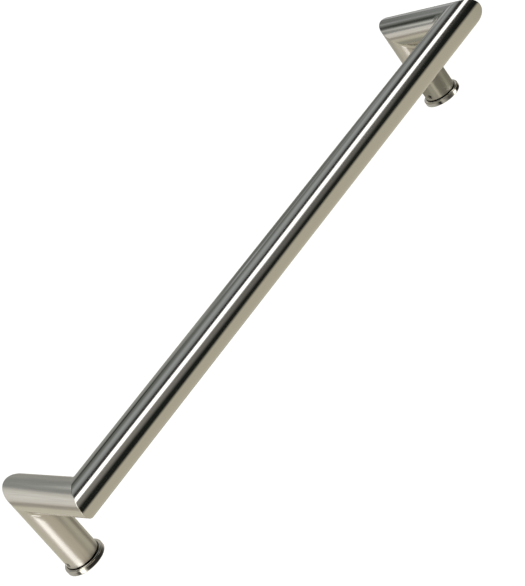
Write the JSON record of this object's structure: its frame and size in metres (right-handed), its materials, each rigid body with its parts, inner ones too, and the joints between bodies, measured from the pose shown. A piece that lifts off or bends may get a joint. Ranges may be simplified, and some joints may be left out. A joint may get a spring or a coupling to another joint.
{
  "type": "grab rail",
  "caption": "Offset grab rail of mitred, welded round tube; its posts slide over hidden mounting bosses and are clamped by set screws.",
  "frame": {"origin": "on the mounting plane, midway between the two fixing holes", "axes": "+X along the grip, with the set screws facing -X; +Y from the grip towards the posts; +Z away from the mounting plane"},
  "size_m": [0.6478, 0.1175, 0.0984],
  "materials": {
    "satin_tube": "satin, brushed along the tube",
    "ground_weld": "ground flush and blended",
    "turned_bush": "fine turned",
    "set_screw": "plain machined",
    "polished_boss": "mirror polished"
  },
  "bodies": {
    "fixings": {"left_mount_boss": "polished_boss", "right_mount_boss": "polished_boss"},
    "rail": {"grip_tube": "satin_tube", "left_offset_tube": "satin_tube", "left_post_tube": "satin_tube", "left_grip_weld": "ground_weld", "left_post_weld": "ground_weld", "left_post_bush": "turned_bush", "right_offset_tube": "satin_tube", "right_post_tube": "satin_tube", "right_grip_weld": "ground_weld", "right_post_weld": "ground_weld", "right_post_bush": "turned_bush"},
    "left_screw": {"left_set_screw": "set_screw"},
    "right_screw": {"right_set_screw": "set_screw"}
  },
  "joints": [
    {"name": "rail_lift_off", "type": "slide", "parent": "fixings", "child": "rail", "axis": [0, 0, 1], "range_m": [0, 0.015]},
    {"name": "left_screw_back_out", "type": "slide", "parent": "rail", "child": "left_screw", "axis": [-1, 0, 0], "range_m": [0, 0.003]},
    {"name": "right_screw_back_out", "type": "slide", "parent": "rail", "child": "right_screw", "axis": [-1, 0, 0], "range_m": [0, 0.003]}
  ]
}
